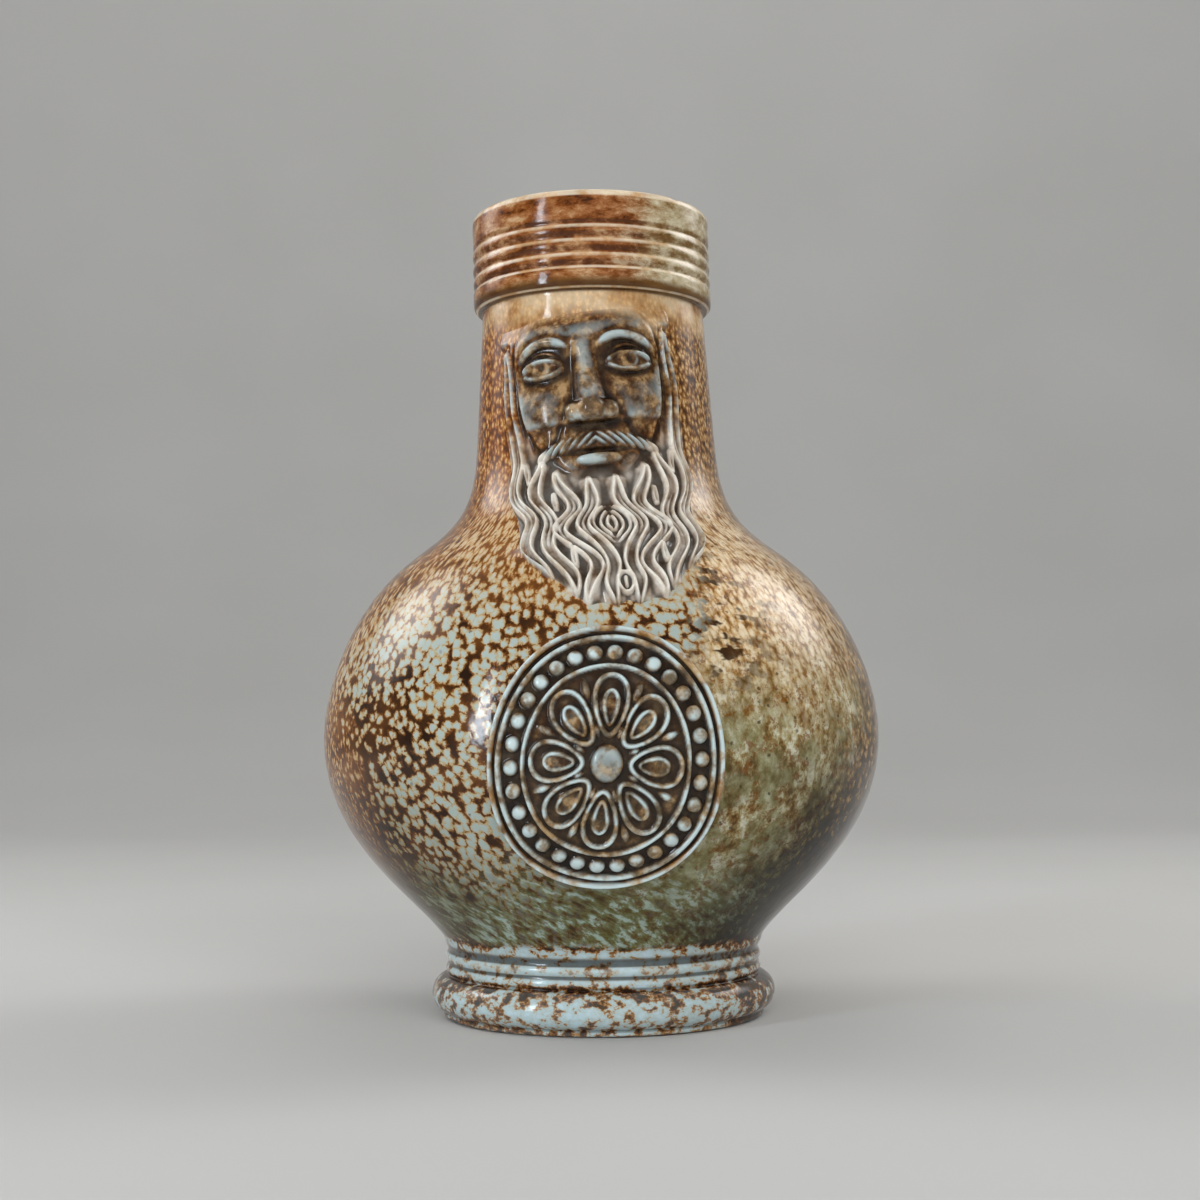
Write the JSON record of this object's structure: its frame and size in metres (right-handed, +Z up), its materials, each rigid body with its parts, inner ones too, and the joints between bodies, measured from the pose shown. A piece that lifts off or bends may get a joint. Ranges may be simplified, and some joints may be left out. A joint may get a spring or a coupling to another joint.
{
  "type": "bartmann jug",
  "caption": "Thrown stoneware jug with a round belly, rolled foot, reeded collar and strap handle, a bearded mask on the neck and an oval medallion on the belly.",
  "frame": {"origin": "centre of the flat, wire-cut base that the jug stands on", "axes": "+Z up along the axis it was thrown on, -Y out through the mask, +Y out through the handle"},
  "size_m": [0.166, 0.1691, 0.24],
  "materials": {
    "vessel_glaze": "mottled salt glaze",
    "mask_glaze": "mottled salt glaze, pale on the ridges",
    "medallion_glaze": "mottled salt glaze, dark in the field",
    "handle_glaze": "mottled salt glaze"
  },
  "bodies": {
    "root": {"thrown_vessel": "vessel_glaze", "face_mask": "mask_glaze", "medallion": "medallion_glaze", "handle": "handle_glaze"}
  },
  "joints": []
}
